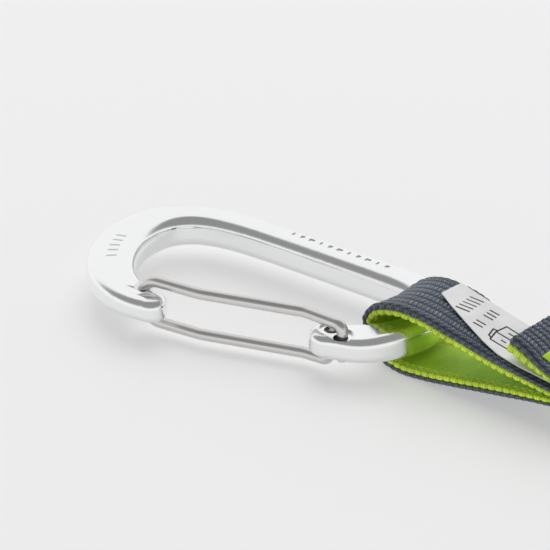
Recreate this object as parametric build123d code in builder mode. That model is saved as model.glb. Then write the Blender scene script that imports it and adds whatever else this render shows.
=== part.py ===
from build123d import *
from math import cos, radians, sin
import os

# Climbing quickdraw lying flat. Units are millimetres, +Z is up, the floor is z = 0.
# X runs along the sling, from the bolt-end carabiner towards the rope-end carabiner.
# Both gates are on the -Y side. Every piece is drawn in the bolt-end carabiner's own
# frame (z = 0 at its mid-plane) and then moved to its place.

# ---- driving dimensions -------------------------------------------------------------
mid_height = 8.87         # height of both carabiner mid-planes above the floor
mid_x = 82.7              # half way along the sling, in the carabiner's frame
shift_y = -5.026          # centres the quickdraw on Y

# forged body: stations from the nose to the gate pivot
# x, y, heading in degrees, width in plan, thickness, edge radius
body_stations = [
    (-24.5, -17.3, 178, 8.0, 6.0, 2.2),
    (-30.4, -17.2, 171, 9.6, 6.1, 2.3),
    (-36.2, -15.5, 156, 10.9, 6.7, 2.4),
    (-41.8, -12.0, 140, 11.9, 7.5, 2.6),
    (-47.6, -5.2, 121, 12.7, 8.3, 2.9),
    (-51.2, 3.4, 101, 12.7, 8.6, 3.0),
    (-51.6, 11.4, 84, 12.0, 8.6, 3.0),
    (-49.0, 18.7, 58, 10.8, 8.6, 3.0),
    (-42.8, 23.8, 27, 9.6, 8.6, 3.0),
    (-33.0, 26.4, 7, 9.1, 8.6, 3.0),
    (-18.0, 27.3, 2, 9.0, 8.6, 3.0),
    (0.0, 27.5, 0, 9.0, 8.6, 3.0),
    (15.0, 27.5, 0, 9.0, 8.6, 3.0),
    (23.8, 26.7, -14, 9.0, 8.6, 3.0),
    (30.6, 22.6, -50, 8.6, 8.6, 3.0),
    (33.4, 15.6, -88, 8.0, 8.6, 3.0),
    (32.2, 8.4, -110, 8.4, 8.1, 2.8),
    (28.9, 2.6, -130, 9.4, 7.1, 2.4),
    (24.2, -1.6, -146, 9.9, 6.4, 2.1),
    (18.9, -3.9, -166, 9.3, 6.0, 2.0),
]
# long shallow dimple on both faces of the nose
nose_scoop = (-27.5, -17.3)
scoop_length = 7.8        # half-axis of the spheroid that cuts it, along the nose
scoop_r = 2.5
scoop_depth = 0.5
tick_depth = 0.3
# x, y, direction in degrees and surface height of each tick round the wide end
bend_ticks = [
    (-45.0, -8.5, 44, 3.97),
    (-46.6, -6.2, 38, 4.1),
    (-47.9, -4.0, 33, 4.18),
    (-49.0, -1.6, 26, 4.22),
    (-49.9, 0.7, 20, 4.26),
]

# wire gate
wire_r = 1.4
leg_end_r = 1.15          # reduced leg ends that turn in the body
leg_z = 5.55              # height of each leg's centre line above or below the middle
gate_x = 21.1
gate_y = -3.85
stagger_x = 2.1           # each leg end stands this far from the gate axis
stagger_y = -0.35
gate_open = 28.0          # degrees
hole_r = 1.78
bar_x = -29.2             # closed end of the wire, resting in the nose notch
bar_y = -14.9
bend_r = 4.9

# nose notch
notch_floor = -16.55
notch_left = -30.9
notch_right = -27.15

# webbing
web_t = 2.2
web_w = 16.4
web_y = 14.7              # centre line of the sling
label_gap = 0.05
label_t = 0.3
label_end_x = 36.6
label_stop_x = 80.0
overlap_start = 61.5
knuckle_r = 3.5
knuckle_gap = 0.4
flex_z = 1.3              # height of the flex line above the carabiner mid-plane
tack_t = 0.3
tack_w = 1.8
tack_len = 12.6

# plan outline of the space inside the bar, with a little clearance: the webbing's
# edges are drawn in to it where the strip turns round the bar
inside_bar = [
    (15.0, 22.4),
    (22.4, 21.5),
    (24.9, 20.3),
    (26.6, 19.0),
    (27.9, 17.2),
    (28.6, 15.5),
    (28.3, 12.8),
    (27.4, 10.4),
    (26.1, 8.6),
    (24.4, 6.5),
    (21.0, 3.6),
    (15.0, 0.6),
]
# flip, how far along X and how far above and below the middle the edges are drawn in
drawn_in = [(1, 28.5, 7.3), (-1, 31.0, 5.0)]

# rubber keeper at the rope end, measured from the rope carabiner's frame
keeper_near = 42.6
keeper_far = 50.6
keeper_t = 1.5
keeper_in_near = 4.95     # inner half-heights of the tapered band
keeper_in_far = 2.85

os.makedirs("parts", exist_ok=True)

to_place = Location((-mid_x, shift_y, mid_height))
half_turn = Location((0, 0, 0), (0, 180, 0))
to_rope_end = to_place * Location((2 * mid_x, 0, 0)) * half_turn
# the rope-end eye keeps its upper side up: half a turn about Z and back across Y
to_mirror = to_place * Location((2 * mid_x, 2 * web_y, 0)) * Location((0, 0, 0), (0, 0, 180))

# each hole is centred on the middle of its leg end's small swing
half_open = radians(gate_open / 2)
swing_x = stagger_x * cos(half_open) + stagger_y * sin(half_open)
swing_y = -stagger_x * sin(half_open) + stagger_y * cos(half_open)


# ---- forged carabiner body ----------------------------------------------------------
with BuildPart() as body:
    for x, y, heading, width, thick, edge in body_stations:
        station = Plane(
            origin=(x, y, 0),
            x_dir=(-sin(radians(heading)), cos(radians(heading)), 0),
            z_dir=(cos(radians(heading)), sin(radians(heading)), 0),
        )
        with BuildSketch(station):
            RectangleRounded(width, thick, edge)
    loft()
    # both ends are rounded: half of the end section, turned half a circle about Z
    for x, y, heading, width, thick, edge in (body_stations[0], body_stations[-1]):
        end_side = Plane(
            origin=(x, y, 0),
            x_dir=(-sin(radians(heading)), cos(radians(heading)), 0),
            z_dir=(cos(radians(heading)), sin(radians(heading)), 0),
        )
        with BuildSketch(end_side):
            RectangleRounded(width, thick, edge)
            with Locations((-width / 2, 0)):
                Rectangle(width, thick + 2, mode=Mode.SUBTRACT)
        turn = 180 if x < 0 else -180
        revolve(axis=Axis((x, y, 0), (0, 0, 1)), revolution_arc=turn)
    # the notch behind the nose tip that the closed gate rests in
    with BuildSketch(Plane.XY.offset(-6)):
        with BuildLine():
            Polyline(
                (notch_left - 1.9, notch_floor + 7.0),
                (notch_left, notch_floor),
                (notch_right, notch_floor),
                (notch_right + 0.6, notch_floor + 7.0),
                close=True,
            )
        make_face()
        floor_corners = vertices().sort_by(Axis.Y)[:2]
        fillet(floor_corners, 1.2)
    extrude(amount=12, mode=Mode.SUBTRACT)
    # the nose dimple, the same on both faces
    for side in (1, -1):
        scoop_z = side * (body_stations[0][4] / 2 + scoop_r - scoop_depth)
        scoop_centre = (nose_scoop[0], nose_scoop[1], scoop_z)
        with BuildSketch(Plane(origin=scoop_centre, x_dir=(1, 0, 0), z_dir=(0, 0, 1))):
            Ellipse(scoop_length, scoop_r)
            with Locations((0, -scoop_r)):
                Rectangle(4 * scoop_length, 2 * scoop_r, mode=Mode.SUBTRACT)
        revolve(axis=Axis(scoop_centre, (1, 0, 0)), mode=Mode.SUBTRACT)
    # shallow pocket round the two leg holes, on both faces
    for side in (1, -1):
        pocket_plane = Plane.XY.offset(side * 2.55)
        with BuildSketch(pocket_plane):
            with Locations((gate_x, gate_y)):
                SlotCenterToCenter(4.2, 5.6, rotation=-9)
        extrude(amount=side * 3, mode=Mode.SUBTRACT)
    # leg holes, right through
    with BuildSketch(Plane.XY.offset(-6)):
        with Locations((gate_x + swing_x, gate_y + swing_y)):
            Circle(hole_r)
        with Locations((gate_x - swing_x, gate_y - swing_y)):
            Circle(hole_r)
    extrude(amount=12, mode=Mode.SUBTRACT)
    # plain stamped ticks along the spine and round the wide end
    with BuildSketch(Plane.XY.offset(body_stations[11][4] / 2 - tick_depth)):
        for tick in range(11):
            with Locations((-16.0 + 2.9 * tick, 28.2)):
                Rectangle(0.6 + 0.5 * (tick % 3), 1.3)
    extrude(amount=2, mode=Mode.SUBTRACT)
    for x, y, turn, top in bend_ticks:
        with BuildSketch(Plane.XY.offset(top - tick_depth)):
            with Locations((x, y)):
                Rectangle(2.6, 0.7, rotation=turn)
        extrude(amount=2, mode=Mode.SUBTRACT)


# ---- wire gate ----------------------------------------------------------------------
upper_end = (gate_x + stagger_x, gate_y + stagger_y)
lower_end = (gate_x - stagger_x, gate_y - stagger_y)
with BuildPart() as gate:
    with BuildLine() as wire_path:
        FilletPolyline(
            (upper_end[0], upper_end[1], 3.3),
            (upper_end[0], upper_end[1], leg_z),
            (12.0, -4.25, leg_z),
            (-13.0, -12.7, leg_z),
            (bar_x, bar_y, leg_z),
            (bar_x, bar_y, -leg_z),
            (-13.0, -12.7, -leg_z),
            (12.0, -4.25, -leg_z),
            (lower_end[0], lower_end[1], -leg_z),
            (lower_end[0], lower_end[1], -3.3),
            radius=[1.8, 6.0, 12.0, bend_r, bend_r, 12.0, 6.0, 1.8],
        )
    with BuildSketch(Plane(origin=wire_path.line @ 0, z_dir=wire_path.line % 0)):
        Circle(wire_r)
    sweep()
    with BuildSketch(Plane.XY.offset(-3.7)):
        with Locations(upper_end):
            Circle(leg_end_r)
    extrude(amount=7.1)
    with BuildSketch(Plane.XY.offset(-3.4)):
        with Locations(lower_end):
            Circle(leg_end_r)
    extrude(amount=4.0)


# ---- webbing ------------------------------------------------------------------------
# centre lines of the strip in the X-Z plane, from the middle of the sling round the
# bar and back
bolt_line = [
    (mid_x, 1.1),
    (77.0, 1.12),
    (68.0, 2.1),
    (57.0, 3.7),
    (47.0, 5.9),
    (38.5, 7.7),
    (31.5, 7.8),
    (26.0, 5.2),
    (23.9, 0.0),
    (26.0, -5.2),
    (31.5, -7.6),
    (38.5, -7.4),
    (47.0, -5.9),
    (57.0, -4.0),
    (68.0, -2.2),
    (77.0, -1.12),
    (mid_x, -1.1),
]
rope_line = [
    (mid_x, 3.7),
    (77.0, 3.45),
    (70.0, 3.3),
    (62.0, 3.2),
    (55.0, 1.9),
    (49.5, 1.4),
    (45.5, 2.1),
    (41.5, 4.2),
    (37.5, 5.8),
    (33.0, 6.1),
    (28.3, 4.7),
    (26.0, 0.0),
    (28.3, -4.7),
    (33.0, -6.1),
    (37.5, -5.8),
    (41.5, -4.2),
    (45.5, -2.1),
    (49.5, -1.3),
    (55.0, -1.1),
    (62.0, -1.1),
    (70.0, -1.1),
    (mid_x, -1.1),
]


def run_beside(line, gap, stop_x, first=0.0, last=1.0, steps=20):
    """Points at a distance outside a strip's centre line, up to a given x."""
    found = []
    for step in range(steps + 1):
        place = first + (last - first) * step / steps
        at = line @ place
        along = line % place
        if at.X <= stop_x:
            found.append((at.X + along.Z * gap, at.Z - along.X * gap))
    return found


def place_at_x(line, x):
    """Where along a loop line its upper run crosses x."""
    low, high = 0.0, 0.45
    for _ in range(40):
        middle = (low + high) / 2
        if (line @ middle).X > x:
            low = middle
        else:
            high = middle
    return (low + high) / 2


# what the webbing keeps clear of, for the bolt-end eye and the rope-end eye
keep_outs = []
for flip, end_x, half_z in drawn_in:
    with BuildPart() as keep_out:
        with BuildSketch(Plane.XY.offset(-half_z)):
            with Locations((20 + (end_x - 20) / 2, 0)):
                Rectangle(end_x - 20, 30.0)
            with BuildLine():
                Polyline(*[(x, flip * (y - web_y)) for x, y in inside_bar], close=True)
            make_face(mode=Mode.SUBTRACT)
        extrude(amount=2 * half_z)
    keep_outs.append(keep_out.part)


with BuildLine() as bolt_path:
    Spline(*[(x, 0, z) for x, z in bolt_line], tangents=[(-1, 0, 0), (1, 0, 0)])
with BuildLine() as rope_path:
    Spline(*[(x, 0, z) for x, z in rope_line], tangents=[(-1, 0, 0), (1, 0, 0)])
bolt_run = bolt_path.line
rope_run = rope_path.line

with BuildPart() as bolt_webbing:
    with BuildSketch(Plane.XZ):
        with BuildLine():
            skin = Spline(*run_beside(bolt_run, web_t / 2, mid_x))
            Line(skin @ 1, skin @ 0)
        make_face()
        with BuildLine():
            hollow = Spline(*run_beside(bolt_run, -web_t / 2, 72.0))
            Line(hollow @ 0, (75.0, 0.0))
            Line((75.0, 0.0), hollow @ 1)
        make_face(mode=Mode.SUBTRACT)
        # hollow end that the other half's rounded end turns in
        with Locations((mid_x, flex_z)):
            Circle(knuckle_r + knuckle_gap, mode=Mode.SUBTRACT)
    extrude(amount=web_w / 2, both=True)
    add(keep_outs[0], mode=Mode.SUBTRACT)

with BuildPart() as overlap_webbing:
    near = web_t / 2 + 2 * label_gap + label_t
    start = place_at_x(bolt_run, overlap_start)
    with BuildSketch(Plane.XZ):
        with BuildLine():
            low = Spline(*run_beside(bolt_run, near, 99, 0.0, start, 12))
            high = Spline(*run_beside(bolt_run, near + web_t, 99, 0.0, start, 12))
            Line(low @ 0, high @ 0)
            Line(low @ 1, high @ 1)
        make_face()
        with Locations((mid_x, flex_z)):
            Circle(knuckle_r + knuckle_gap, mode=Mode.SUBTRACT)
    extrude(amount=web_w / 2, both=True)

with BuildPart() as label:
    near = web_t / 2 + label_gap
    first = place_at_x(bolt_run, label_stop_x)
    last = place_at_x(bolt_run, label_end_x)
    with BuildSketch(Plane.XZ):
        with BuildLine():
            low = Spline(*run_beside(bolt_run, near, 99, first, last, 20))
            high = Spline(*run_beside(bolt_run, near + label_t, 99, first, last, 20))
            Line(low @ 0, high @ 0)
            Line(low @ 1, high @ 1)
        make_face()
        with Locations((mid_x, flex_z)):
            Circle(knuckle_r + knuckle_gap, mode=Mode.SUBTRACT)
    extrude(amount=web_w / 2 - 0.2, both=True)
    # the free end is narrower: it leaves the near edge of the strap on a slant
    with BuildSketch(Plane.XY.offset(-5)):
        with BuildLine():
            Polyline(
                (label_end_x - 3, -12.0),
                (57.0, -12.0),
                (57.0, -8.0),
                (label_end_x + 0.2, 1.9),
                (label_end_x - 3, 1.5),
                close=True,
            )
        make_face()
    extrude(amount=20, mode=Mode.SUBTRACT)

with BuildPart() as rope_webbing:
    with BuildSketch(Plane.XZ):
        with BuildLine():
            skin = Spline(*run_beside(rope_run, web_t / 2, mid_x, steps=30))
            Line(skin @ 1, skin @ 0)
        make_face()
        with BuildLine():
            hollow = Spline(*run_beside(rope_run, -web_t / 2, 44.2, steps=30))
            Line(hollow @ 1, hollow @ 0)
        make_face(mode=Mode.SUBTRACT)
        with Locations((mid_x, flex_z)):
            Circle(knuckle_r)
    extrude(amount=web_w / 2, both=True)
    add(keep_outs[1], mode=Mode.SUBTRACT)

# bar tacks: raised bands of lime thread on the outer faces of the sewn part
with BuildPart() as bolt_tacks:
    for tack_x in (68.0, 74.5):
        first = place_at_x(bolt_run, tack_x + tack_w / 2)
        last = place_at_x(bolt_run, tack_x - tack_w / 2)
        over_flap = 2 * label_gap + label_t + web_t
        for low_place, high_place, extra in ((first, last, over_flap), (1 - first, 1 - last, 0)):
            near = web_t / 2 + extra + 0.02
            with BuildSketch(Plane.XZ):
                with BuildLine():
                    low = Spline(*run_beside(bolt_run, near, 99, low_place, high_place, 3))
                    high = Spline(*run_beside(bolt_run, near + tack_t, 99, low_place, high_place, 3))
                    Line(low @ 0, high @ 0)
                    Line(low @ 1, high @ 1)
                make_face()
            extrude(amount=tack_len / 2, both=True)

with BuildPart() as rope_tacks:
    for tack_x in (65.5, 72.0):
        first = place_at_x(rope_run, tack_x + tack_w / 2)
        last = place_at_x(rope_run, tack_x - tack_w / 2)
        for low_place, high_place in ((first, last), (1 - last, 1 - first)):
            near = web_t / 2 + 0.02
            with BuildSketch(Plane.XZ):
                with BuildLine():
                    low = Spline(*run_beside(rope_run, near, 99, low_place, high_place, 3))
                    high = Spline(*run_beside(rope_run, near + tack_t, 99, low_place, high_place, 3))
                    Line(low @ 0, high @ 0)
                    Line(low @ 1, high @ 1)
                make_face()
            extrude(amount=tack_len / 2, both=True)

# ---- rubber keeper: a tapered band round both layers of the rope-end eye -------------
with BuildPart() as keeper:
    with BuildSketch(Plane.XZ):
        with BuildLine():
            Polyline(
                (keeper_near, keeper_in_near + keeper_t),
                (keeper_far, keeper_in_far + keeper_t),
                (keeper_far, -keeper_in_far - keeper_t),
                (keeper_near, -keeper_in_near - keeper_t),
                close=True,
            )
        make_face()
    extrude(amount=web_w / 2 + 0.15 + keeper_t, both=True)
    fillet(keeper.edges(), 0.6)
    slope = (keeper_in_near - keeper_in_far) / (keeper_far - keeper_near)
    with BuildSketch(Plane.XZ):
        with BuildLine():
            Polyline(
                (keeper_near - 1, keeper_in_near + slope),
                (keeper_far + 1, keeper_in_far - slope),
                (keeper_far + 1, -keeper_in_far + slope),
                (keeper_near - 1, -keeper_in_near - slope),
                close=True,
            )
        make_face()
    extrude(amount=web_w / 2 + 0.15, both=True, mode=Mode.SUBTRACT)

# ---- place every piece and export ---------------------------------------------------
on_strap = Location((0, web_y, 0))
placed_pieces = [
    ("bolt_carabiner_body", body, to_place),
    ("bolt_gate_wire", gate, to_place),
    ("rope_carabiner_body", body, to_rope_end),
    ("rope_gate_wire", gate, to_rope_end),
    ("sling_bolt_eye_webbing", bolt_webbing, to_place * on_strap),
    ("sling_overlap_end_webbing", overlap_webbing, to_place * on_strap),
    ("sling_rope_eye_webbing", rope_webbing, to_mirror * on_strap),
    ("sling_label", label, to_place * on_strap),
    ("bolt_bar_tacks", bolt_tacks, to_place * on_strap),
    ("rope_bar_tacks", rope_tacks, to_mirror * on_strap),
    ("rope_end_keeper", keeper, to_mirror * on_strap),
]
for name, piece, place in placed_pieces:
    with BuildPart() as placed:
        add(piece.part.moved(place))
    placed.part.label = name
    export_step(placed.part, "parts/" + name + ".step")
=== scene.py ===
import math

import bpy
import numpy as np
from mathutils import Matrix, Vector


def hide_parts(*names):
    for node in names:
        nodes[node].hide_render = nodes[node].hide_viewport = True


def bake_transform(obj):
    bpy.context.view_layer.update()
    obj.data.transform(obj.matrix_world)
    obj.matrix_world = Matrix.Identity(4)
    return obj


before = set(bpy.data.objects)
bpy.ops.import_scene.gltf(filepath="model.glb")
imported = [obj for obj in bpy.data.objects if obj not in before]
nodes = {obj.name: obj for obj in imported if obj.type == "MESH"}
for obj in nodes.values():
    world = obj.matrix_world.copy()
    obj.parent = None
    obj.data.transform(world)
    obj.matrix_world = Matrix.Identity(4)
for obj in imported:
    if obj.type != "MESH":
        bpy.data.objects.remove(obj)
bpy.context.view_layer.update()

MM = 0.001
# shapes below are drawn in millimetres in the bolt carabiner's frame, which stands here
HOME = np.array([-82.7, -5.026, 8.87])
MID_X = 82.7          # middle of the sling
WEB_Y = 14.7          # middle line of the webbing
rng = np.random.default_rng(7)


def to_row(p):
    """Carabiner-frame millimetres to row-frame metres."""
    return (np.asarray(p, float) + HOME) * MM


# ---------------------------------------------------------------- materials
def new_material(name):
    mat = bpy.data.materials.new(name)
    mat.use_nodes = True
    tree = mat.node_tree
    bsdf = tree.nodes["Principled BSDF"]
    return mat, tree, bsdf


def node(tree, kind, **inputs):
    n = tree.nodes.new(kind)
    for key, value in inputs.items():
        if key in n.inputs:
            n.inputs[key].default_value = value
        else:
            setattr(n, key, value)
    return n


def link(tree, a, out, b, inp):
    tree.links.new(a.outputs[out], b.inputs[inp])


def ramp(tree, stops):
    n = tree.nodes.new("ShaderNodeValToRGB")
    els = n.color_ramp.elements
    while len(els) < len(stops):
        els.new(0.5)
    for e, (pos, col) in zip(els, stops):
        e.position = pos
        e.color = (*col, 1.0)
    return n


def grey(v):
    return (v, v, v)


def metal(name, base, rough_low, rough_high, grain_scale, grain, streak):
    """Tumble-polished metal: fine grain, faint drawn streaks, roughness clouds."""
    mat, tree, bsdf = new_material(name)
    bsdf.inputs["Metallic"].default_value = 1.0
    coord = node(tree, "ShaderNodeTexCoord")
    clouds = node(tree, "ShaderNodeTexNoise", Scale=45.0, Detail=4.0, Roughness=0.55)
    link(tree, coord, "Object", clouds, "Vector")
    rough = ramp(tree, [(0.3, grey(rough_low)), (0.75, grey(rough_high))])
    link(tree, clouds, "Fac", rough, "Fac")
    link(tree, rough, "Color", bsdf, "Roughness")
    tint = ramp(tree, [(0.25, tuple(c * 0.96 for c in base)), (0.8, base)])
    link(tree, clouds, "Fac", tint, "Fac")
    link(tree, tint, "Color", bsdf, "Base Color")
    stretch = node(tree, "ShaderNodeMapping")
    stretch.inputs["Scale"].default_value = streak
    link(tree, coord, "Object", stretch, "Vector")
    fine = node(tree, "ShaderNodeTexNoise", Scale=grain_scale, Detail=3.0, Roughness=0.6)
    link(tree, stretch, "Vector", fine, "Vector")
    bump = node(tree, "ShaderNodeBump", Strength=grain, Distance=0.00004)
    link(tree, fine, "Fac", bump, "Height")
    link(tree, bump, "Normal", bsdf, "Normal")
    return mat


aluminium = metal(
    "polished_aluminium", base=(0.93, 0.935, 0.94), rough_low=0.13, rough_high=0.22,
    grain_scale=900.0, grain=0.10, streak=(1.0, 1.0, 1.0))
steel = metal(
    "drawn_wire", base=(0.72, 0.705, 0.69), rough_low=0.24, rough_high=0.36,
    grain_scale=1400.0, grain=0.25, streak=(0.12, 0.12, 1.0))

WAVE_PERIOD = 0.314   # one band of a wave texture at scale 1


def woven(name, low, high, rough, sheen, pitch, slant, strength):
    """Woven yarn crossed by slanted threads: painted shade between the ribs, a painted highlight
    on their tops.
    """
    mat, tree, bsdf = new_material(name)
    crown_shade = node(tree, "ShaderNodeAttribute", attribute_name="crown_shade")
    coord = node(tree, "ShaderNodeTexCoord")
    turn = node(tree, "ShaderNodeMapping")
    turn.inputs["Rotation"].default_value = (0, 0, slant)
    link(tree, coord, "UV", turn, "Vector")
    threads = node(
        tree, "ShaderNodeTexWave", Scale=WAVE_PERIOD / pitch, Distortion=1.2, Detail=2.0)
    threads.inputs["Detail Scale"].default_value = 6.0
    link(tree, turn, "Vector", threads, "Vector")
    fibres = node(tree, "ShaderNodeTexNoise", Scale=34.0, Detail=3.0, Roughness=0.65)
    link(tree, coord, "UV", fibres, "Vector")
    blotch = node(tree, "ShaderNodeTexNoise", Scale=1.3, Detail=2.0)
    link(tree, coord, "UV", blotch, "Vector")
    weave = node(tree, "ShaderNodeMath", operation="MULTIPLY_ADD")
    link(tree, threads, "Fac", weave, 0)
    weave.inputs[1].default_value = 0.70
    weave.inputs[2].default_value = 0.40
    lit = node(tree, "ShaderNodeMath", operation="MULTIPLY")
    link(tree, crown_shade, "Fac", lit, 0)
    link(tree, weave, "Value", lit, 1)
    fuzz = node(tree, "ShaderNodeMath", operation="MULTIPLY_ADD")
    link(tree, fibres, "Fac", fuzz, 0)
    fuzz.inputs[1].default_value = 0.45
    link(tree, lit, "Value", fuzz, 2)
    level = node(tree, "ShaderNodeMath", operation="SUBTRACT")
    link(tree, fuzz, "Value", level, 0)
    level.inputs[1].default_value = 0.21
    # the ramp paints shade: low is the painted shade between the ribs, high the painted highlight
    # on their tops
    middle = tuple(0.62 * a + 0.38 * b for a, b in zip(low, high))
    colour = ramp(tree, [(0.0, low), (0.45, middle), (0.95, high)])
    link(tree, level, "Value", colour, "Fac")
    tone = node(tree, "ShaderNodeHueSaturation")
    bright = ramp(tree, [(0.3, grey(0.85)), (0.7, grey(1.12))])
    link(tree, blotch, "Fac", bright, "Fac")
    link(tree, bright, "Color", tone, "Value")
    link(tree, colour, "Color", tone, "Color")
    link(tree, tone, "Color", bsdf, "Base Color")
    bsdf.inputs["Roughness"].default_value = rough
    bsdf.inputs["Sheen Weight"].default_value = sheen
    bsdf.inputs["Sheen Roughness"].default_value = 0.4
    bump = node(tree, "ShaderNodeBump", Strength=strength, Distance=0.00010)
    link(tree, lit, "Value", bump, "Height")
    link(tree, bump, "Normal", bsdf, "Normal")
    return mat


# each weave's low and high colours are its painted shade and painted highlight
slate = woven(
    "slate_weave", low=(0.004, 0.005, 0.009), high=(0.27, 0.34, 0.46),
    rough=0.40, sheen=0.08, pitch=0.052, slant=0.45, strength=0.9)
lime = woven(
    "lime_weave", low=(0.33, 0.62, 0.004), high=(0.86, 1.0, 0.10),
    rough=0.50, sheen=0.05, pitch=0.060, slant=0.30, strength=0.6)
thread = woven(
    "lime_thread", low=(0.33, 0.62, 0.005), high=(0.86, 1.0, 0.11),
    rough=0.40, sheen=0.05, pitch=0.050, slant=1.35, strength=0.6)


def label_material():
    mat, tree, bsdf = new_material("white_tape")
    coord = node(tree, "ShaderNodeTexCoord")
    across = node(tree, "ShaderNodeTexWave", Scale=9.0, Distortion=0.4, Detail=1.0)
    across.bands_direction = "X"
    along = node(tree, "ShaderNodeTexWave", Scale=9.0, Distortion=0.4, Detail=1.0)
    along.bands_direction = "Y"
    link(tree, coord, "UV", across, "Vector")
    link(tree, coord, "UV", along, "Vector")
    both = node(tree, "ShaderNodeMath", operation="ADD")
    link(tree, across, "Fac", both, 0)
    link(tree, along, "Fac", both, 1)
    cloud = node(tree, "ShaderNodeTexNoise", Scale=1.6, Detail=3.0)
    link(tree, coord, "UV", cloud, "Vector")
    tint = ramp(tree, [(0.3, (0.80, 0.80, 0.81)), (0.7, (0.90, 0.90, 0.90))])
    link(tree, cloud, "Fac", tint, "Fac")
    link(tree, tint, "Color", bsdf, "Base Color")
    bump = node(tree, "ShaderNodeBump", Strength=0.25, Distance=0.00003)
    link(tree, both, "Value", bump, "Height")
    link(tree, bump, "Normal", bsdf, "Normal")
    bsdf.inputs["Roughness"].default_value = 0.62
    bsdf.inputs["Sheen Weight"].default_value = 0.15
    return mat


def simple(name, base, rough, scale, bump_strength):
    """One colour, a little cloudy, with a fine grain."""
    mat, tree, bsdf = new_material(name)
    coord = node(tree, "ShaderNodeTexCoord")
    noise = node(tree, "ShaderNodeTexNoise", Scale=scale, Detail=4.0)
    link(tree, coord, "Object", noise, "Vector")
    tint = ramp(tree, [(0.3, tuple(c * 0.8 for c in base)), (0.75, base)])
    link(tree, noise, "Fac", tint, "Fac")
    link(tree, tint, "Color", bsdf, "Base Color")
    bsdf.inputs["Roughness"].default_value = rough
    bump = node(tree, "ShaderNodeBump", Strength=bump_strength, Distance=0.00005)
    link(tree, noise, "Fac", bump, "Height")
    link(tree, bump, "Normal", bsdf, "Normal")
    return mat


tape = label_material()
ink = simple("woven_ink", (0.030, 0.030, 0.034), 0.6, 1500.0, 0.3)
rubber = simple("keeper_rubber", (0.030, 0.030, 0.033), 0.55, 1200.0, 0.4)


def wear(obj, material):
    obj.data.materials.clear()
    obj.data.materials.append(material)


for name in ("bolt_carabiner_body", "rope_carabiner_body"):
    wear(nodes[name], aluminium)
for name in ("bolt_gate_wire", "rope_gate_wire"):
    wear(nodes[name], steel)
wear(nodes["rope_end_keeper"], rubber)


# ---------------------------------------------------------------- strip path
# x, z of the strip's centre line round each eye; the rope eye is drawn as if on the bolt side
BOLT_UPPER = [
    (77.0, 1.12), (68.0, 2.1), (57.0, 3.7), (47.0, 5.9), (38.5, 7.7), (31.5, 7.8), (26.0, 5.2),
]
BOLT_LOWER = [
    (26.0, -5.2), (31.5, -7.4), (38.5, -7.15), (47.0, -5.8), (57.0, -4.0), (68.0, -2.2),
    (77.0, -1.12),
]
ROPE_LOWER = [
    (62.0, -1.1), (55.0, -1.1), (49.5, -1.3), (45.5, -2.1), (41.5, -4.2), (37.5, -5.8),
    (33.0, -6.1), (28.3, -4.7),
]
ROPE_UPPER = [
    (28.3, 4.7), (33.0, 6.1), (37.5, 5.8), (41.5, 4.2), (45.5, 2.1), (49.5, 1.4), (55.0, 1.9),
    (62.0, 3.2), (70.0, 3.3), (77.0, 3.45),
]


def mirror(points):
    return [(2 * MID_X - x, z) for x, z in points]


# from the buried end, round the bolt eye and the rope eye, to the lifted flap
STRIP = (
    [(103.9, 1.13), (95.0, 1.12), (86.0, 1.1)]
    + BOLT_UPPER + [(23.9, 0.0)] + BOLT_LOWER
    + [(86.0, -1.1), (95.0, -1.1)]
    + mirror(ROPE_LOWER) + [(139.4, 0.0)] + mirror(ROPE_UPPER)
    + [(82.7, 3.72), (77.5, 4.0), (70.5, 5.6), (61.7, 8.1)]
)


SPAN_POINTS = 60      # points drawn between two given ones
ROUNDING = 30         # smoothing passes that keep the bends round


def smooth_line(points, step):
    """Centripetal Catmull-Rom through the points, resampled at an even step."""
    p = np.array(points, float)
    p = np.vstack([2 * p[0] - p[1], p, 2 * p[-1] - p[-2]])
    out = []
    for k in range(1, len(p) - 2):
        p0, p1, p2, p3 = p[k - 1], p[k], p[k + 1], p[k + 2]
        t0 = 0.0
        t1 = t0 + np.linalg.norm(p1 - p0) ** 0.5
        t2 = t1 + np.linalg.norm(p2 - p1) ** 0.5
        t3 = t2 + np.linalg.norm(p3 - p2) ** 0.5
        t = np.linspace(t1, t2, SPAN_POINTS, endpoint=False)[:, None]
        a1 = (t1 - t) / (t1 - t0) * p0 + (t - t0) / (t1 - t0) * p1
        a2 = (t2 - t) / (t2 - t1) * p1 + (t - t1) / (t2 - t1) * p2
        a3 = (t3 - t) / (t3 - t2) * p2 + (t - t2) / (t3 - t2) * p3
        b1 = (t2 - t) / (t2 - t0) * a1 + (t - t0) / (t2 - t0) * a2
        b2 = (t3 - t) / (t3 - t1) * a2 + (t - t1) / (t3 - t1) * a3
        out.append((t2 - t) / (t2 - t1) * b1 + (t - t1) / (t2 - t1) * b2)
    out.append(p[-2][None, :])
    line = np.vstack(out)
    for _ in range(ROUNDING):
        line[1:-1] = 0.25 * line[:-2] + 0.5 * line[1:-1] + 0.25 * line[2:]
    run = np.concatenate([[0], np.cumsum(np.linalg.norm(np.diff(line, axis=0), axis=1))])
    even = np.linspace(0, run[-1], int(run[-1] / step) + 1)
    return even, np.column_stack([np.interp(even, run, line[:, i]) for i in (0, 1)])


def normals(line):
    t = np.gradient(line, axis=0)
    t /= np.linalg.norm(t, axis=1)[:, None]
    return np.column_stack([t[:, 1], -t[:, 0]])


STEP = 0.19           # spacing of the rings along the strip
FLAP_EDGE = 14        # length of the flap over which its edges stand in
FLAP_CURL = 13        # length of the flap that curls up
run_u, centre = smooth_line(STRIP, STEP)
side = normals(centre)
RUN_LENGTH = run_u[-1]


def ease(x, a, b):
    """Smooth step from 0 at a to 1 at b."""
    t = np.clip((x - a) / (b - a), 0, 1)
    return t * t * (3 - 2 * t)


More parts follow.
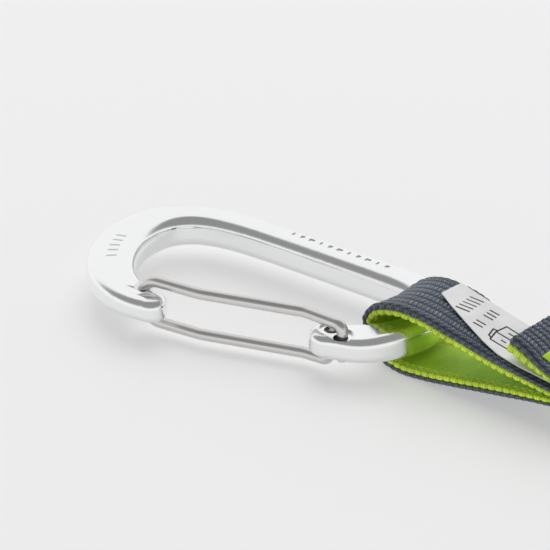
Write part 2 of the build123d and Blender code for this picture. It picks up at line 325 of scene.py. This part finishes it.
def edge_lines(u, x, z):
    """Y of the strap's near and far edges along the run, drawn in inside the bars."""
    xb = np.where(x < MID_X, x, 2 * MID_X - x)
    inside = 1 - ease(np.abs(z), 3.6, 6.2)
    turned = 1 - ease(xb, 27.0, 30.5)
    tight = np.where(x > MID_X, 1.0, 0.0)
    near = 6.4 + inside * turned * (0.35 + 2.2 * tight)
    far = 22.95 - inside * turned * (1.55 + 2.6 * tight)
    over_spine = ease(z, 4.5, 7.0) * (1 - ease(xb, 40.0, 56.0)) * (1 - tight)
    # the lifted flap stands a little in from the strap's near edge
    flap = ease(u, RUN_LENGTH - FLAP_EDGE, RUN_LENGTH)
    return near - 0.25 * over_spine + 0.7 * flap, far + 1.5 * over_spine + 0.2 * flap


near_y, far_y = edge_lines(run_u, centre[:, 0], centre[:, 1])


def skew(points):
    """The turn round the bolt-end bar runs on a slant: its near edge stands further out."""
    near_side = np.clip((15.0 - points[..., 1]) / 8.6, 0, 1) ** 1.3
    turn = 1 - ease(points[..., 0], 25.0, 40.0)
    points[..., 0] -= 2.0 * near_side * turn * (points[..., 2] > -3) * ease(points[..., 2], -3, 3)
    return points


# ---------------------------------------------------------------- webbing
RIBS = 8              # lengthwise ribs across the dark face
PER_RIB = 10
FLOAT = 1.05          # length of one slanted float on a rib
KNOT = 2.05           # length of one lime edge knot
BRAID = 1.9           # length of one twist of the dark selvedge
HALF_T = 1.1
WIDTH = 16.4
EDGE_ROW = 0.95       # width of one row of lime knots
BRAID_WIDTH = 1.15    # width of the selvedge braid on the dark face
BRAID_R = 0.58
FINE_ROW = 0.82       # width of one row of the plain lime weave
FINE_LOOP = 0.95      # length of one of its loops
FLOAT_SLANT = 0.45    # how far a float leans across its rib
FLOAT_SHIFT = 0.31    # how far the floats of one rib start behind the last one's
WALL_ROWS = 8         # rings on each side wall

# no two floats stand quite the same
LUCK = 0.45 + 0.55 * rng.random((RIBS, 311))


def slate_relief(u, c):
    """Height and painted shade (dark in gaps, light on tops) of the dark face; c runs 0 to 1
    across the strap.
    """
    rib = c * RIBS
    k = np.floor(np.clip(rib, 0, RIBS - 1e-6))
    f = rib - k
    body = np.sqrt(np.clip(1 - (2 * f - 1) ** 2, 0, 1))
    slant = np.where(k % 2 == 0, 1.0, -1.0)
    phase = u / FLOAT + FLOAT_SLANT * slant * (f - 0.5) + FLOAT_SHIFT * k
    beat = 0.5 + 0.5 * np.cos(2 * np.pi * phase)
    turn_no = np.floor(phase + 0.5).astype(int) % LUCK.shape[1]
    luck = LUCK[k.astype(int) + 0 * turn_no, turn_no]
    lift = body * (0.36 + 0.64 * beat * luck)
    # the outermost rib is a twisted braid
    edge = np.minimum(c, 1 - c) * WIDTH
    is_braid = edge < BRAID_WIDTH
    twist = np.abs(np.sin(np.pi * (u / BRAID + 0.8 * edge)))
    bulge = np.sqrt(np.clip(1 - (edge / BRAID_R - 1) ** 2, 0, 1))
    braid = bulge * (0.35 + 0.65 * twist)
    # second value: painted shade, dark between the ribs and between the braid's twists, light on
    # their tops
    height = np.where(is_braid, 0.42 * braid, 0.30 * lift + 0.04)
    return height, np.where(is_braid, 0.05 + 0.50 * braid * twist, lift ** 1.5)


def lime_relief(u, c):
    """Height and painted shade (dark between knots, light on their tops) of the lime face, with
    two rows of edge knots.
    """
    v = c * WIDTH
    edge = np.minimum(v, WIDTH - v)
    row = np.floor(edge / EDGE_ROW)
    f = edge / EDGE_ROW - row
    knot_body = np.sqrt(np.clip(1 - (2 * f - 1) ** 2, 0, 1))
    knot = knot_body * np.abs(np.sin(np.pi * (u / KNOT + 0.5 * (row % 2)))) ** 0.45
    k = np.floor(v / FINE_ROW)
    f2 = v / FINE_ROW - k
    plain = np.sqrt(np.clip(1 - (2 * f2 - 1) ** 2, 0, 1)) * (
        0.5 + 0.5 * np.abs(np.sin(np.pi * (u / FINE_LOOP + 0.5 * (k % 2)))) ** 0.7)
    is_edge = edge < 2 * EDGE_ROW
    height = np.where(is_edge, 0.45 * knot, 0.12 * plain)
    return height, np.where(is_edge, 0.15 + 0.85 * knot, 0.22 + 0.38 * plain)


def build_mesh(name, verts, quads, materials, face_slot, uvs=None, crown_shade=None):
    """Smooth-shaded mesh object, with UVs and the weave's painted-shade value where given."""
    me = bpy.data.meshes.new(name)
    me.from_pydata([tuple(v) for v in verts], [], [tuple(q) for q in quads])
    for m in materials:
        me.materials.append(m)
    me.polygons.foreach_set("material_index", np.asarray(face_slot, np.int32))
    me.polygons.foreach_set("use_smooth", np.ones(len(me.polygons), bool))
    if uvs is not None:
        layer = me.uv_layers.new(name="UVMap")
        idx = np.empty(len(me.loops), np.int32)
        me.loops.foreach_get("vertex_index", idx)
        layer.data.foreach_set("uv", np.asarray(uvs, np.float32)[idx].ravel())
    if crown_shade is not None:
        at = me.attributes.new("crown_shade", "FLOAT", "POINT")
        at.data.foreach_set("value", np.asarray(crown_shade, np.float32))
    me.update()
    obj = bpy.data.objects.new(name, me)
    bpy.context.collection.objects.link(obj)
    return obj


def pressed(x, u):
    """Thickness factor: the sewn middle is pressed, the flap's sealed end is swollen."""
    sewn = ease(x, 60, 70) * (1 - ease(x, 96, 106))
    cut = ease(u, RUN_LENGTH - 10, RUN_LENGTH - 3)
    return 1 - 0.2 * sewn * (1 - cut) + 0.45 * cut


def flap_curl(u, from_far):
    """Lift of the flap's end, whose near corner curls up more than its far one."""
    return 1.5 * ease(u, RUN_LENGTH - FLAP_CURL, RUN_LENGTH) * np.clip(from_far / WIDTH, 0, 1.1)


def strap(name, u, line, nrm, near, far):
    """Closed two-colour strip: dark face out, lime face in, a braid and knots down each edge."""
    cols = RIBS * PER_RIB + 1
    c = np.linspace(0, 1, cols)
    # each ring: y, height along the normal, painted shade, place across, slot of the face after
    # it
    rings = []
    roll = 1 - np.clip(np.minimum(c, 1 - c) * WIDTH / 0.8, 0, 1) ** 0.6
    h, crown_shade = slate_relief(u[:, None], c[None, :])
    for j in range(cols):
        y = near + (far - near) * c[j]
        rings.append((y, HALF_T - 0.12 - 0.15 * roll[j] + h[:, j], crown_shade[:, j], c[j] * WIDTH, 0))
    # the side walls: a dark braid above a row of lime knots
    dark_wall = [(1.10, 0.42), (0.66, 0.70), (0.18, 0.60), (-0.10, 0.18)]
    lime_wall = [(-0.20, 0.18), (-0.45, 0.68), (-0.94, 0.74), (-1.28, 0.32)]
    lime_knot = np.abs(np.sin(np.pi * (u / KNOT + 0.25))) ** 0.45

    def wall(at_far):
        out = []
        sign = 1 if at_far else -1
        base = far if at_far else near
        for i, (off, bulge) in enumerate(dark_wall):
            # tone is painted shade: the braid darker between its twists, darkest in the crease
            # row next to the lime
            k = 0.40 + 0.60 * np.abs(np.sin(np.pi * (u / BRAID - 0.22 * i)))
            tone = 0.05 + 0.55 * k * k * (bulge > 0.2)
            slot = 0 if i < len(dark_wall) - 1 else 1
            out.append((base + sign * bulge * k, off + 0 * u, tone, 17.0 + 0.3 * i, slot))
        for i, (off, bulge) in enumerate(lime_wall):
            spread = (off + 0.68) * 0.45 * lime_knot
            reach = 0.04 + 1.15 * bulge * (0.12 + 0.88 * lime_knot)
            # tone is painted shade, dark between the edge knots and light on their tops
            tone = 0.10 + 0.90 * lime_knot * (bulge > 0.15)
            out.append((base + sign * reach, off + spread, tone, 18.4 + 0.3 * i, 1))
        return out

    rings += wall(True)
    hl, lime_crown_shade = lime_relief(u[:, None], c[None, :])
    for j in range(cols - 1, -1, -1):
        y = near + (far - near) * c[j]
        down = -(HALF_T - 0.16 - 0.10 * roll[j] + hl[:, j])
        rings.append((y, down, lime_crown_shade[:, j], 20 + c[j] * WIDTH, 1))
    back = wall(False)[::-1]
    for i, (y, off, cr, vv, _) in enumerate(back):
        rings.append((y, off, cr, vv, 1 if i < len(lime_wall) else 0))
    n, k = len(u), len(rings)
    verts = np.empty((n, k, 3))
    uvs = np.empty((n, k, 2))
    crown_shades = np.empty((n, k))
    press = pressed(line[:, 0], u)
    for j, (y, off, cr, vv, _) in enumerate(rings):
        off = off * press
        verts[:, j, 0] = line[:, 0] + nrm[:, 0] * off
        verts[:, j, 1] = y
        verts[:, j, 2] = line[:, 1] + nrm[:, 1] * off + flap_curl(u, far - y)
        uvs[:, j, 0] = u / 10.0
        uvs[:, j, 1] = vv / 10.0
        crown_shades[:, j] = cr
    a = np.arange(n - 1)[:, None] * k + np.arange(k)[None, :]
    b = np.arange(n - 1)[:, None] * k + (np.arange(k)[None, :] + 1) % k
    quads = np.stack([a, b, b + k, a + k], axis=-1).reshape(-1, 4).tolist()
    slots = [r[4] for r in rings] * (n - 1)
    # caps across the cut ends
    for row, flip in ((0, False), (n - 1, True)):
        base = row * k
        for j in range(cols - 1):
            low = base + cols + WALL_ROWS + (cols - 1 - j)
            q = (base + j, low, low - 1, base + j + 1)
            quads.append(q[::-1] if flip else q)
            slots.append(0)
        far_ring = [base + cols - 1 + i for i in range(WALL_ROWS + 2)]
        last_lime = base + 2 * cols + WALL_ROWS - 1
        near_ring = [last_lime + i for i in range(WALL_ROWS + 1)] + [base]
        for ring in (far_ring, near_ring):
            quads.append(tuple(ring) if flip else tuple(ring[::-1]))
            slots.append(0)
    flat = to_row(skew(verts.reshape(-1, 3)))
    return build_mesh(
        name, flat, quads, [slate, lime], slots, uvs.reshape(-1, 2), crown_shades.reshape(-1))


webbing = strap("sling_webbing", run_u, centre, side, near_y, far_y)


def bend(obj, *replaced):
    """Bake the piece's placement into its mesh and hide the CAD nodes it stands for."""
    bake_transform(obj)
    if replaced:
        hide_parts(*replaced)


bend(webbing, "sling_bolt_eye_webbing", "sling_overlap_end_webbing", "sling_rope_eye_webbing")


# ---------------------------------------------------------------- label
# the bolt-side top layer, from the buried end to this point over the bar
BAR_TOP = (31.0, 7.8)
stop = int(np.argmin(np.hypot(centre[:, 0] - BAR_TOP[0], centre[:, 1] - BAR_TOP[1])))
run_line, run_side = centre[: stop + 1], side[: stop + 1]


def on_run(x, y, off):
    """Point above the bolt-side top layer at x, y and a height over its centre line."""
    xs = run_line[::-1, 0]
    px = np.interp(x, xs, xs)
    pz = np.interp(x, xs, run_line[::-1, 1])
    nx = np.interp(x, xs, run_side[::-1, 0])
    nz = np.interp(x, xs, run_side[::-1, 1])
    return np.stack([px + nx * off, y + 0 * px, pz + nz * off], axis=-1)


LABEL_OFF = 1.68      # height of the tape's middle over the strip's centre line
TAPE_HALF_T = 0.11
# x, y along the tape's two edges, from its free end to the sewn end
LABEL_NEAR = [
    (36.6, 16.3), (41.0, 13.9), (47.0, 11.3), (53.0, 8.9), (58.0, 7.4), (64.0, 6.9), (80.0, 6.9),
]
LABEL_FAR = [(37.4, 23.5), (44.0, 23.2), (52.0, 22.9), (60.0, 22.6), (80.0, 22.5)]


def label_point(a, b):
    """a runs 0 to 1 from the free end, b from the near edge to the far edge."""
    (near_start, _), (far_start, _) = LABEL_NEAR[0], LABEL_FAR[0]
    xn = near_start + (LABEL_NEAR[-1][0] - near_start) * a
    xf = far_start + (LABEL_FAR[-1][0] - far_start) * a
    yn = np.interp(xn, *zip(*LABEL_NEAR))
    yf = np.interp(xf, *zip(*LABEL_FAR))
    x = xn + (xf - xn) * b
    y = yn + (yf - yn) * b
    return x, y


def label_waves(a, b):
    """How far the tape stands off: a lifted free end, one soft buckle and fine ripples."""
    free_end = 0.35 * np.exp(-(a / 0.05) ** 2)
    buckle = 0.12 * np.exp(-((a - 0.18) / 0.07) ** 2) * np.sin(3.0 * b)
    ripple = 0.05 * np.sin(9 * a + 4 * b) + 0.03 * np.sin(31 * a)
    return free_end + buckle + ripple * np.clip(1 - a * 1.6, 0, 1)


def make_label():
    """Thin closed tape that follows the top layer."""
    n, m = 150, 44
    a = np.linspace(0, 1, n)[:, None]
    b = np.linspace(0, 1, m)[None, :]
    x, y = label_point(a, b)
    off = LABEL_OFF + label_waves(a, b)
    top = on_run(x, y, off + TAPE_HALF_T)
    low = on_run(x, y, off - TAPE_HALF_T)
    verts = np.concatenate([top.reshape(-1, 3), low.reshape(-1, 3)])
    uv = np.stack([x / 10, y / 10], axis=-1).reshape(-1, 2)
    uvs = np.concatenate([uv, uv])
    idx = np.arange(n * m).reshape(n, m)
    quads = []
    for i in range(n - 1):
        for j in range(m - 1):
            q = (idx[i, j], idx[i + 1, j], idx[i + 1, j + 1], idx[i, j + 1])
            quads.append(q)
            quads.append(tuple(v + n * m for v in q[::-1]))
    ring = [*idx[:, 0], *idx[-1, 1:], *idx[-2::-1, -1], *idx[0, -2:0:-1]]
    for p, q in zip(ring, ring[1:] + ring[:1]):
        quads.append((q, p, p + n * m, q + n * m))
    return build_mesh("sling_label_tape", to_row(verts), quads, [tape], [0] * len(quads), uvs)


label = make_label()
bend(label, "sling_label")


INK_WIDTH = 0.46
INK_STEP = 0.25       # spacing of points along a stroke
INK_PROFILE = ((-0.5, 0.0), (-0.32, 0.10), (0.0, 0.14), (0.32, 0.10), (0.5, 0.0))
PRINT_START, PRINT_LENGTH = 36.8, 43.4      # the tape's reach in x, as the print sees it
PRINT_NEAR, PRINT_SPAN = 8, 15              # and in y


def ink_strokes(name, strokes):
    """Raised dark threads along short polylines on the label; points are x, y."""
    verts, quads = [], []
    for pts in strokes:
        p = np.array(pts, float)
        dense = []
        for s, e in zip(p[:-1], p[1:]):
            k = max(2, int(np.linalg.norm(e - s) / INK_STEP) + 1)
            dense += [s + (e - s) * t for t in np.linspace(0, 1, k, endpoint=False)]
        dense.append(p[-1])
        d = np.array(dense)
        t = np.gradient(d, axis=0)
        t /= np.linalg.norm(t, axis=1)[:, None]
        nrm = np.column_stack([-t[:, 1], t[:, 0]])
        for s, h in INK_PROFILE:
            q = d + nrm * s * INK_WIDTH
            a = np.clip((q[:, 0] - PRINT_START) / PRINT_LENGTH, 0, 1)
            b = np.clip((q[:, 1] - PRINT_NEAR) / PRINT_SPAN, 0, 1)
            verts.append(on_run(q[:, 0], q[:, 1], LABEL_OFF + 0.08 + h + label_waves(a, b)))
        n = len(d)
        start = sum(len(v) for v in verts[:-len(INK_PROFILE)])
        for r in range(len(INK_PROFILE) - 1):
            for i in range(n - 1):
                o = start + r * n + i
                quads.append((o, o + n, o + n + 1, o + 1))
    return build_mesh(name, to_row(np.concatenate(verts)), quads, [ink], [0] * len(quads))


# abstract print: a row of slanted bars, a row of short ticks and an open booklet
row_one = [[(41.6, y), (44.9, y + 0.9)] for y in (14.6, 16.1, 17.6, 19.1, 20.6)]
row_two = [[(47.6, y), (50.1, y + 0.2)] for y in (12.9, 14.3, 17.3, 18.7, 20.1)]
booklet = [
    [(53.6, 10.9), (53.0, 14.4), (53.6, 18.0)],
    [(53.6, 10.9), (59.0, 10.7)],
    [(53.6, 18.0), (59.2, 17.6)],
    [(53.0, 14.4), (59.6, 14.2)],
    [(53.6, 11.5), (52.6, 11.9), (52.0, 14.8), (53.0, 14.9)],
    [(55.3, 16.2), (58.0, 16.0)],
    [(55.6, 12.6), (57.0, 12.5)],
]
marks = ink_strokes("label_marks", row_one + row_two + booklet)
bend(marks)


# ---------------------------------------------------------------- bar tacks
TACK_OFF = 1.27       # height of a band over the strip's centre line
TACK_HALF_W, TACK_HALF_L = 1.0, 5.6
STITCH = 0.44         # length of one satin stitch along the band
FLAP_FAR_Y = 23.1


def tack(name, x, upper, bolt_half):
    """A band of satin stitches across the strap, following the surface under it."""
    xs, zs = centre.T
    # the stretch of the strip under the band: flap, top layer or bottom layer
    if bolt_half and upper:
        sel = np.arange(int(len(xs) * 0.80), len(xs))
    elif upper:
        sel = np.where((zs > 2.2) & (xs > MID_X) & (xs < 112))[0]
    else:
        sel = np.where((zs < 0) & (xs < MID_X + 30) & (xs > 60))[0]
    order = sel[np.argsort(xs[sel])]
    n, m = 9, 127
    a = np.linspace(-1, 1, n)[:, None]
    b = np.linspace(-1, 1, m)[None, :]
    px = x + a * TACK_HALF_W + 0 * b
    zz = np.interp(px, xs[order], zs[order])
    nx = np.interp(px, xs[order], side[order, 0])
    nz = np.interp(px, xs[order], side[order, 1])
    yy = WEB_Y + b * TACK_HALF_L + 0.22 * a
    ridge = np.abs(np.sin(np.pi * (b * TACK_HALF_L / STITCH)))
    rim = np.clip(1 - np.abs(a) ** 4, 0, 1) * np.clip(1 - np.abs(b) ** 40, 0, 1)
    us = np.interp(px, xs[order], run_u[order])
    h = TACK_OFF * pressed(px, us) + rim * (0.16 + 0.26 * ridge ** 0.6) - (1 - rim) * 0.15
    if bolt_half and upper:
        zz = zz + flap_curl(us, FLAP_FAR_Y - yy)
    verts = np.stack([px + nx * h, yy, zz + nz * h], axis=-1).reshape(-1, 3)
    idx = np.arange(n * m).reshape(n, m)
    quads = [
        (idx[i, j], idx[i + 1, j], idx[i + 1, j + 1], idx[i, j + 1])
        for i in range(n - 1) for j in range(m - 1)
    ]
    if not upper:
        quads = [q[::-1] for q in quads]
    uv = np.stack([px / 10 + 0 * b, yy / 10 + 0 * a], axis=-1).reshape(-1, 2)
    # painted shade: the stitches light on their ridges, dark in the grooves and at the band's rim
    crown_shade = (0.15 + 0.85 * ridge * rim).reshape(-1)
    return build_mesh(name, to_row(verts), quads, [thread], [0] * len(quads), uv, crown_shade)


for end, stood_for, places in (
    ("bolt", "bolt_bar_tacks", (69.6, 75.6)),
    ("rope", "rope_bar_tacks", (93.4, 99.9)),
):
    for number, x in enumerate(places, 1):
        for upper, word in ((True, "top"), (False, "under")):
            band = tack(f"{end}_tack_{word}_{number}", x, upper, end == "bolt")
            bend(band, stood_for)


# ---------------------------------------------------------------- floor, light, camera
FLOOR_GLOW = 0.385    # the floor lights itself a little, so it stays near white
FLOOR_HALF = 4.0


def make_floor():
    me = bpy.data.meshes.new("studio_floor")
    s = FLOOR_HALF
    me.from_pydata([(-s, -s, 0), (s, -s, 0), (s, s, 0), (-s, s, 0)], [], [(0, 1, 2, 3)])
    obj = bpy.data.objects.new("studio_floor", me)
    bpy.context.collection.objects.link(obj)
    mat, tree, bsdf = new_material("floor_white")
    bsdf.inputs["Base Color"].default_value = (0.52, 0.52, 0.52, 1)
    bsdf.inputs["Roughness"].default_value = 0.28
    bsdf.inputs["Specular IOR Level"].default_value = 0.08
    bsdf.inputs["Emission Color"].default_value = (1, 1, 1, 1)
    bsdf.inputs["Emission Strength"].default_value = FLOOR_GLOW
    me.materials.append(mat)


make_floor()

AZ, EL, DIST = 38.0, 29.0, 0.500
FOCAL = 2075.0 / 550.0      # focal length over frame width
DROP = 35.0 / 2075.0        # how far the target stands off the frame's middle, over focal length
SENSOR = 36.0
TARGET = Vector(to_row((0, 0, 0)))
az, el = math.radians(AZ), math.radians(EL)
back = Vector((math.sin(az) * math.cos(el), -math.cos(az) * math.cos(el), math.sin(el)))
up = Vector((-math.sin(az) * math.sin(el), math.cos(az) * math.sin(el), math.cos(el)))
tilt = math.atan(DROP)
look = (-back * math.cos(tilt) + up * math.sin(tilt)).normalized()
cam_data = bpy.data.cameras.new("camera")
cam_data.sensor_width = SENSOR
cam_data.lens = FOCAL * SENSOR
cam_data.clip_start = 0.01
cam = bpy.data.objects.new("camera", cam_data)
cam.location = TARGET + back * DIST
cam.rotation_euler = look.to_track_quat("-Z", "Y").to_euler()
bpy.context.collection.objects.link(cam)
bpy.context.scene.camera = cam


REAR_FADE = (0.16, 0.52)    # the dark sector ends between these, towards the rear
LOW_FADE = (0.52, 0.20)     # and between these, towards the horizon


def make_world():
    """White all round, but dark above and in front, where the metal's shoulders look."""
    world = bpy.data.worlds.new("studio")
    bpy.context.scene.world = world
    world.use_nodes = True
    tree = world.node_tree
    bg = tree.nodes["Background"]
    coord = node(tree, "ShaderNodeTexCoord")
    behind = node(tree, "ShaderNodeVectorMath", operation="DOT_PRODUCT")
    behind.inputs[1].default_value = (-math.sin(az), math.cos(az), 0.0)
    link(tree, coord, "Generated", behind, 0)
    rear = node(tree, "ShaderNodeMapRange", interpolation_type="SMOOTHSTEP")
    rear.inputs["From Min"].default_value, rear.inputs["From Max"].default_value = REAR_FADE
    link(tree, behind, "Value", rear, "Value")
    split = node(tree, "ShaderNodeSeparateXYZ")
    link(tree, coord, "Generated", split, "Vector")
    low = node(tree, "ShaderNodeMapRange", interpolation_type="SMOOTHSTEP")
    low.inputs["From Min"].default_value, low.inputs["From Max"].default_value = LOW_FADE
    link(tree, split, "Z", low, "Value")
    lit = node(tree, "ShaderNodeMath", operation="MAXIMUM")
    link(tree, rear, "Result", lit, 0)
    link(tree, low, "Result", lit, 1)
    shade = ramp(tree, [(0.0, grey(0.29)), (0.40, grey(0.42)), (1.0, grey(0.96))])
    link(tree, lit, "Value", shade, "Fac")
    link(tree, shade, "Color", bg, "Color")
    bg.inputs["Strength"].default_value = 1.0


make_world()


def soft_sun(name, azimuth, elevation, spread, power):
    """Wide, even light that shapes shadows but isn't mirrored in the metal."""
    data = bpy.data.lights.new(name, "SUN")
    data.angle = math.radians(spread)
    data.energy = power
    obj = bpy.data.objects.new(name, data)
    a, e = math.radians(azimuth), math.radians(elevation)
    source = Vector((math.sin(a) * math.cos(e), -math.cos(a) * math.cos(e), math.sin(e)))
    obj.rotation_euler = source.to_track_quat("Z", "Y").to_euler()
    obj.location = source
    obj.visible_glossy = False
    bpy.context.collection.objects.link(obj)


soft_sun("key", 200.0, 68.0, 60.0, 1.15)
bpy.context.scene.view_settings.view_transform = "Standard"
bpy.context.scene.view_settings.look = "None"
